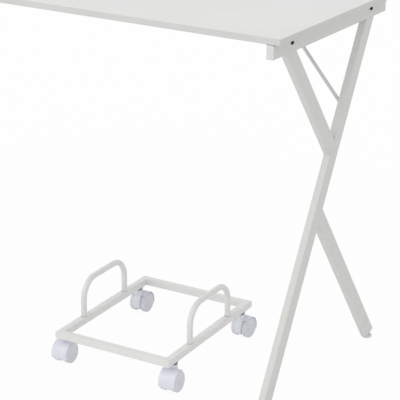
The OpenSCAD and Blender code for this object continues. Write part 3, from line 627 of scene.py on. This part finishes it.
# %% Helpers for screws
def solids_of(node):
    """The (low, high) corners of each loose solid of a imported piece."""
    shape = bmesh.new()
    shape.from_mesh(nodes[node].data)
    bmesh.ops.remove_doubles(shape, verts=shape.verts, dist=same_place)
    boxes = []
    left = set(shape.verts)
    while left:
        reached = set()
        waiting = [left.pop()]
        while waiting:
            vertex = waiting.pop()
            reached.add(vertex)
            near = {edge.other_vert(vertex) for edge in vertex.link_edges} & left
            left -= near
            waiting += near
        places = [v.co for v in reached]
        boxes.append((Vector(map(min, *places)), Vector(map(max, *places))))
    shape.free()
    return sorted(boxes, key=lambda box: tuple(box[0]))


def cut(shape, cutter):
    """The mesh of one shape with another cut out of it."""
    pair = []
    for part in (shape, cutter):
        mesh = bpy.data.meshes.new("throwaway")
        part.to_mesh(mesh)
        part.free()
        thing = bpy.data.objects.new("throwaway", mesh)
        bpy.context.scene.collection.objects.link(thing)
        pair.append(thing)
    modifier = pair[0].modifiers.new("cut", "BOOLEAN")
    modifier.operation = "DIFFERENCE"
    modifier.solver = "EXACT"
    modifier.use_self = True
    modifier.object = pair[1]
    view = bpy.context.evaluated_depsgraph_get()
    result = bpy.data.meshes.new_from_object(pair[0].evaluated_get(view))
    for thing in pair:
        mesh = thing.data
        bpy.data.objects.remove(thing)
        bpy.data.meshes.remove(mesh)
    return result


for node in ("wood_screws", "machine_screws", "beam_bolts"):
    print(len(solids_of(node)), "of", node)

# %% [markdown]
# A screw stands with its head down on the Z axis and its seat at height 0. The head's outline
# and the recess are shares of its radius and height. The recess is two crossed bars that narrow
# inwards. A wood screw ends in a point, and a machine screw in a narrower flat end.

# %% Screw
dome = [(0, 1), (0.45, 1), (0.72, 0.9), (0.92, 0.62), (1, 0.3), (1, 0)]
bar_length = 1.15
bar_width = 0.24
bar_height = 1.2
bar_taper = 0.45


def screw(head_r, head_h, shank_r, length, tip, tip_r):
    """The mesh of a screw. It narrows over its last stretch, tip, to the radius tip_r."""
    profile = [(r * head_r, -z * head_h) for r, z in dome]
    profile += [(shank_r, 0), (shank_r, length - tip), (tip_r, length)]
    if tip_r > 0:
        profile.append((0, length))
    bar_size = Vector((head_r * bar_length, head_r * bar_width, head_h * bar_height))
    bars = bmesh.new()
    for quarter in range(2):
        made = bmesh.ops.create_cube(bars, size=mm)["verts"]
        bmesh.ops.scale(bars, vec=bar_size, verts=made)
        inner = [v for v in made if v.co.z > 0]
        bmesh.ops.scale(bars, vec=(bar_taper, 1, 1), verts=inner)
        bmesh.ops.translate(bars, vec=(0, 0, -head_h * mm), verts=made)
        turn = Matrix.Rotation(quarter * math.pi / 2, 3, "Z")
        bmesh.ops.rotate(bars, cent=(0, 0, 0), verts=made, matrix=turn)
    return cut(turned(profile, 40), bars)


def set_screws(node, seat_of, screw_for, material=zinc):
    """Puts a screw at every solid of a packed screw node, all in one piece."""
    shapes = []
    for low, high in solids_of(node):
        mesh = screw_for(low, high).copy()
        mesh.transform(seat_of(low, high))
        shape = bmesh.new()
        shape.from_mesh(mesh)
        bpy.data.meshes.remove(mesh)
        shapes.append((shape, Matrix.Identity(4)))
    mesh = gathered(node + "_fine", shapes)
    piece = show(node + "_fine", mesh, material, body_of[node])
    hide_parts(node)
    print(len(shapes), "of", node, "with", len(mesh.polygons), "faces")


# %% [markdown]
# The wood screws reach equally deep into the boards, through a beam's wall, a joining plate or a
# brace's tab. So there are three lengths, and each packed screw's height tells which it is.

# %% Wood screws
wood_head_h = 2.4
into_board = 9.0
beam_wall = 1.2
plate_t = 2
tab_t = 3
wood_screws = {
    length: screw(4, wood_head_h, 2, length, tip=3, tip_r=0)
    for length in (into_board + beam_wall, into_board + plate_t, into_board + tab_t)
}


def upright_seat(low, high):
    """The place of a wood screw, its tip up."""
    middle = (low + high) / 2
    return Matrix.Translation((middle.x, middle.y, low.z + wood_head_h * mm))


def wood_screw_for(low, high):
    """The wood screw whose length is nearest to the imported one's."""
    length = (high.z - low.z) / mm - wood_head_h
    return wood_screws[min(wood_screws, key=lambda made: abs(made - length))]


set_screws("wood_screws", upright_seat, wood_screw_for)

# %% [markdown]
# The machine screws stand upright under the gussets, and lie level where they hold the braces to
# the long legs. A level one is longer than it is high, which tells the two apart.

# %% Machine screws
machine_head_h = 2.75
gusset_screw = screw(4.75, machine_head_h, 2.5, 7, tip=0.5, tip_r=2.0)
brace_screw = screw(4.75, machine_head_h, 2.5, 10, tip=0.5, tip_r=2.0)


def lies_along(low, high):
    """The direction in which a machine screw points."""
    size = high - low
    if size.x > size.z + mm:
        return Vector((1, 0, 0))
    if size.y > size.z + mm:
        return Vector((0, -1, 0))
    return Vector((0, 0, 1))


def seat_along(way, head, low, high):
    """The place and turn of a screw with a packed head of that height, its tip along way."""
    length = abs((high - low).dot(way))
    seat = (low + high) / 2 + way * (head * mm - length / 2)
    return Matrix.Translation(seat) @ way.to_track_quat("Z", "Y").to_matrix().to_4x4()


def machine_seat(low, high):
    """The place and turn of a machine screw."""
    return seat_along(lies_along(low, high), machine_head_h, low, high)


def machine_screw_for(low, high):
    """An upright screw is a gusset's, and a level one a brace's."""
    return gusset_screw if lies_along(low, high).z else brace_screw


set_screws("machine_screws", machine_seat, machine_screw_for)

# %% [markdown]
# The bolts that hold the beams are black, with a low domed head and a hexagon socket. They point
# the other way, inward from the outer face of each top rail. Their heads are drawn lower and
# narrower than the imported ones, as the photograph shows them, and their seats stay.

# %% Beam bolts
packed_bolt_head_h = 3.3
bolt_head_r = 4.4
bolt_head_h = 2.5
bolt_shank_r = 3
bolt_length = 29
bolt_tip = 0.6
socket_r = 2.0
socket_floor = -1.0
bolt_profile = [
    (0, -bolt_head_h), (2.3, -bolt_head_h), (3.1, -2.3), (3.8, -1.8), (4.25, -1.0),
    (bolt_head_r, -0.4), (bolt_head_r, 0), (bolt_shank_r, 0),
    (bolt_shank_r, bolt_length - bolt_tip), (bolt_shank_r - bolt_tip, bolt_length),
    (0, bolt_length),
]
socket = prism(6, socket_r, -bolt_head_h - 1, socket_floor)
beam_bolt = cut(turned(bolt_profile, 48), socket)


def bolt_seat(low, high):
    """The place and turn of a beam bolt."""
    return seat_along(-lies_along(low, high), packed_bolt_head_h, low, high)


set_screws("beam_bolts", bolt_seat, lambda low, high: beam_bolt, black_steel)

# %% [markdown]
# ## Welds
# The branches of each leg frame are welded to the long leg and the top rail. A weld is a small
# rippled bead along the line where two tubes meet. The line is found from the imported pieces: the
# points of one tube's end that lie on the other tube, with a hull round them. A curve with a
# round section follows it, and becomes a mesh.

# %% Helpers for welds
on_surface = 0.06 * mm
ripple_turn = 2.1
ripple_level = 0.6


def end_outline(node, other):
    """The outline, in order, of the end of one piece that stands on another."""
    mesh = nodes[other].data
    corners = [v.co for v in mesh.vertices]
    surface = BVHTree.FromPolygons(corners, [face.vertices for face in mesh.polygons])
    touching = [v.co for v in nodes[node].data.vertices
                if surface.find_nearest(v.co)[3] < on_surface]
    start_at = touching[0]
    across = max((p - start_at for p in touching), key=lambda d: d.length).normalized()
    off = max((p - start_at for p in touching), key=lambda d: across.cross(d).length)
    normal = across.cross(off).normalized()
    side = normal.cross(across)
    flat = [((p - start_at).dot(across), (p - start_at).dot(side)) for p in touching]
    return [touching[i] for i in convex_hull_2d(flat)]


def stepped(one, two, step=0.9 * mm):
    """Points every step along a line."""
    pieces = max(1, round((two - one).length / step))
    return [one.lerp(two, i / pieces) for i in range(pieces + 1)]


def bead(run, radius, ripple=0.1):
    """A shape for a rippled weld along a line from one place to another."""
    curve = bpy.data.curves.new("bead", "CURVE")
    curve.dimensions = "3D"
    curve.bevel_depth = radius
    curve.bevel_resolution = 2
    curve.use_fill_caps = True
    line = stepped(*run)
    spline = curve.splines.new("POLY")
    spline.points.add(len(line) - 1)
    for i, place in enumerate(line):
        spline.points[i].co = (*place, 1)
        spline.points[i].radius = 1 + ripple * (math.sin(i * ripple_turn) - ripple_level)
    thing = bpy.data.objects.new("bead", curve)
    bpy.context.scene.collection.objects.link(thing)
    view = bpy.context.evaluated_depsgraph_get()
    mesh = bpy.data.meshes.new_from_object(thing.evaluated_get(view))
    bpy.data.objects.remove(thing)
    bpy.data.curves.remove(curve)
    shape = bmesh.new()
    shape.from_mesh(mesh)
    bpy.data.meshes.remove(mesh)
    bmesh.ops.remove_doubles(shape, verts=shape.verts, dist=same_place)
    bmesh.ops.recalc_face_normals(shape, faces=shape.faces)
    return shape


print("helpers for welds ready")

# %% [markdown]
# Two runs of each outline lie across the frame, and there the bead is left as it was laid. The
# other two lie where the tubes' sides are flush. They are filled and ground flat before coating,
# so there the bead is smooth, and sunk until it just closes the hollow of the rounded corner.

# %% Runs of a weld
weld_r = 1.3 * mm
flush_in = 1.25 * mm
flush_on = 0.7 * mm
shortest_across = 4 * mm
shortest_flush = 8 * mm


def runs_across(outline, across):
    """The edges of an outline that lie along a direction."""
    pairs = zip(outline, outline[1:] + outline[:1])
    return [[one, two] for one, two in pairs
            if (two - one).length > shortest_across
            and abs((two - one).normalized().dot(across)) > 0.99]


def flush_runs(node, outline, across):
    """The edges of an outline along the flush sides, each moved to its bead's middle line."""
    points = [v.co for v in nodes[node].data.vertices]
    own_middle = sum(points, Vector()) / len(points)
    middle = sum(outline, Vector()) / len(outline)
    runs = []
    for one, two in zip(outline, outline[1:] + outline[:1]):
        way = (two - one).normalized()
        if (two - one).length < shortest_flush or abs(way.dot(across)) > 0.1:
            continue
        out = across if (one - middle).dot(across) > 0 else -across
        onto = across.cross(way).normalized()
        if onto.dot(own_middle - middle) > 0:
            onto = -onto
        side = max(p.dot(out) for p in points)
        shift = out * (side - flush_in - one.dot(out)) + onto * flush_on
        runs.append([one + shift, two + shift])
    return runs


print("helpers for the runs ready")

# %% [markdown]
# Each leg frame has four such joints. The long wing's frame lies across X, and the short wing's
# across Y.

# %% Welds of the leg frames
welded = (
    ("upper_branch", "long_leg"), ("lower_branch", "long_leg"),
    ("upper_branch", "top_rail"), ("long_leg", "top_rail"),
)
beads = []
for end, across in (("right", Vector((1, 0, 0))), ("return", Vector((0, 1, 0)))):
    for piece, other in welded:
        outline = end_outline(f"{end}_{piece}", f"{end}_{other}")
        for run in runs_across(outline, across):
            beads.append((bead(run, weld_r), Matrix.Identity(4)))
        for run in flush_runs(f"{end}_{piece}", outline, across):
            beads.append((bead(run, weld_r, ripple=0), Matrix.Identity(4)))
print(len(beads), "welds on the leg frames")

# %% [markdown]
# The corner legs are wider than the rail that they carry, so each is welded under the rail by
# its two walls that cross it. The weld's place comes from the leg's box and half the leg's side,
# and its length from the flat part of the rail's underside.

# %% Welds of the corner legs
along = Vector((1, -1, 0)).normalized()
across = Vector((1, 1, 0)).normalized()
corner_leg_half = 14 * mm
weld_half = 7 * mm
beads_before = len(beads)
for leg in ("corner_rear_leg", "corner_front_leg"):
    low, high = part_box(leg)
    top = Vector(((low.x + high.x) / 2, (low.y + high.y) / 2, high.z))
    for side in (-1, 1):
        wall = top + along * side * corner_leg_half
        run = [wall - across * weld_half, wall + across * weld_half]
        beads.append((bead(run, weld_r), Matrix.Identity(4)))
print(len(beads) - beads_before, "welds under the corner rail")
show("frame_welds", gathered("frame_welds", beads), desk_coat, "desk")

# %% [markdown]
# ## Painted shadow under the boards
# A dark line shows between the board and the end of its top rail, where the board shades the
# rail: thin over the end cap, and wider beside it. A dark strip between board and rail paints
# that shadow, and a thinner one reaches over the caps.

# %% Painted shadow strips
rail_strip_h = 2.8 * mm
cap_strip_h = 0.9 * mm
cap_t = 1.5 * mm
proud = 0.04 * mm
strips = []
for rail, way in (("right_top_rail", Vector((0, 1, 0))), ("return_top_rail", Vector((1, 0, 0)))):
    low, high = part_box(rail)
    for strip_h, reach in ((rail_strip_h, 0), (cap_strip_h, cap_t)):
        size = high - low + 2 * reach * way + 2 * proud * Vector((1, 1, 0))
        size.z = strip_h
        middle = (low + high) / 2
        middle.z = high.z + proud - strip_h / 2
        strips.append((slab(size), Matrix.Translation(middle)))
# The strips are painted shadow, in the near-black plastic.
show("board_strips", gathered("board_strips", strips), shade_black, "desk")
print(len(strips), "strips under the boards")

# %% [markdown]
# ## Joints under the hoops
# Where each hoop stands on its rail a thin dark line shows, the shade in the open joint under
# the tube's end. A low dark band round each foot paints that shade. A foot's place is found from
# the lowest points in its half of the imported hoop.

# %% Painted joint shadows
joint_r = 6.28
joint_in = 5.6
joint_h = 0.45
lowest = 0.1 * mm
joint_profile = [
    (joint_in, 0), (joint_r, 0), (joint_r, joint_h), (joint_in, joint_h), (joint_in, 0),
]
shadow_bands = []
for side in ("left", "right"):
    low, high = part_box(f"stand_{side}_hoop")
    points = [v.co for v in nodes[f"stand_{side}_hoop"].data.vertices]
    ends = [p for p in points if p.z < low.z + lowest]
    for half in (-1, 1):
        foot = [p for p in ends if (p.y - (low.y + high.y) / 2) * half > 0]
        place = Vector((
            (min(p.x for p in foot) + max(p.x for p in foot)) / 2,
            (min(p.y for p in foot) + max(p.y for p in foot)) / 2, low.z,
        ))
        shadow_bands.append((turned(joint_profile, 48), Matrix.Translation(place)))
# The bands are painted shadow, in the near-black plastic.
show("hoop_joint_lines", gathered("hoop_joint_lines", shadow_bands), shade_black, "stand")
print(len(shadow_bands), "joint lines")

# %% [markdown]
# ## Floor
# The photograph is a cut-out on white. Its white comes from the floor's colour, never from more
# light on the desk: for camera rays and mirror rays the floor is nearly all plain light of
# strength 1, and the rest is painted surface, which keeps a soft shadow under each foot. For all
# other rays it is a pale painted floor, and it throws light up under the boards.

# %% Floor
def seen_directly(tree):
    """A factor that is 1 for the camera's own rays and for reflections and refractions."""
    path = add(tree, "LightPath")
    found = path.outputs["Is Camera Ray"]
    for kind in ("Is Glossy Ray", "Is Transmission Ray"):
        either = add(tree, "Math", {0: found, 1: path.outputs[kind]}, operation="MAXIMUM")
        found = either.outputs["Value"]
    return found


floor_half = 12
floor_grey = (0.88, 0.88, 0.88, 1)
white_share = 0.95

shape = bmesh.new()
bmesh.ops.create_grid(shape, x_segments=2, y_segments=2, size=floor_half)
floor_mesh = bpy.data.meshes.new("floor")
shape.to_mesh(floor_mesh)
shape.free()
floor = bpy.data.objects.new("floor", floor_mesh)
bpy.context.scene.collection.objects.link(floor)
floor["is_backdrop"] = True

floor_paint, tree, shader, place = start("floor_paint")
shader.inputs["Base Color"].default_value = floor_grey
shader.inputs["Roughness"].default_value = 0.9
shader.inputs["Specular IOR Level"].default_value = 0.1
white = add(tree, "Emission", {"Color": (1, 1, 1, 1), "Strength": 1})
share = add(tree, "Math", {0: seen_directly(tree), 1: white_share}, operation="MULTIPLY")
mixed = add(tree, "MixShader", {0: share.outputs["Value"], 1: shader.outputs["BSDF"],
                                2: white.outputs["Emission"]})
tree.links.new(mixed.outputs["Shader"], tree.nodes["Material Output"].inputs["Surface"])
floor_mesh.materials.append(floor_paint)
print("floor", 2 * floor_half, "m across")

# %% [markdown]
# ## Light
# The light is a white room. The world could be one even colour, but then all upright faces would
# be alike, and on the real desk the faces on the right are darker than those in front. So the
# world's level follows the direction: brightest overhead to the left, dimmest low on the right.
# One wide lamp high in front adds a little modelling. Seen directly, the world is plain white.
# The Mix node's sockets for plain numbers are 2 and 3.

# %% World and lamp
bright_side = Vector((-0.50, -0.35, 0.79))
dim_level = 0.44
bright_level = 1.03

world = bpy.data.worlds.new("studio")
bpy.context.scene.world = world
world.use_nodes = True
tree = world.node_tree
direction = add(tree, "TexCoord").outputs["Generated"]
facing = add(tree, "VectorMath", {0: direction, 1: bright_side}, operation="DOT_PRODUCT")
level = between(tree, facing.outputs["Value"], dim_level, bright_level, -1, 1)
level = add(tree, "Mix", {0: seen_directly(tree), 2: level, 3: 1.0}, data_type="FLOAT")
tree.nodes["Background"].inputs["Color"].default_value = (1, 1, 1, 1)
tree.links.new(level.outputs[0], tree.nodes["Background"].inputs["Strength"])


def lamp(name, place, aim, size, power):
    """A round lamp of the given size in metres and power in watts."""
    data = bpy.data.lights.new(name, "AREA")
    data.shape = "DISK"
    data.size = size
    data.energy = power
    made = bpy.data.objects.new(name, data)
    bpy.context.scene.collection.objects.link(made)
    turn = (Vector(aim) - Vector(place)).to_track_quat("-Z", "Y").to_matrix().to_4x4()
    made.matrix_world = Matrix.Translation(place) @ turn
    return made


key = lamp("key", place=(-1.2, -3.6, 3.4), aim=(0.2, 0, 0.3), size=2.6, power=28)
print("one lamp of", key.data.energy, "W")

# %% [markdown]
# ## Sizes and finish
# The last cell prints the dressed model's box.

# %% Sizes
low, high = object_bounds()
print("visual box", [round(v, 4) for v in high - low], "m")
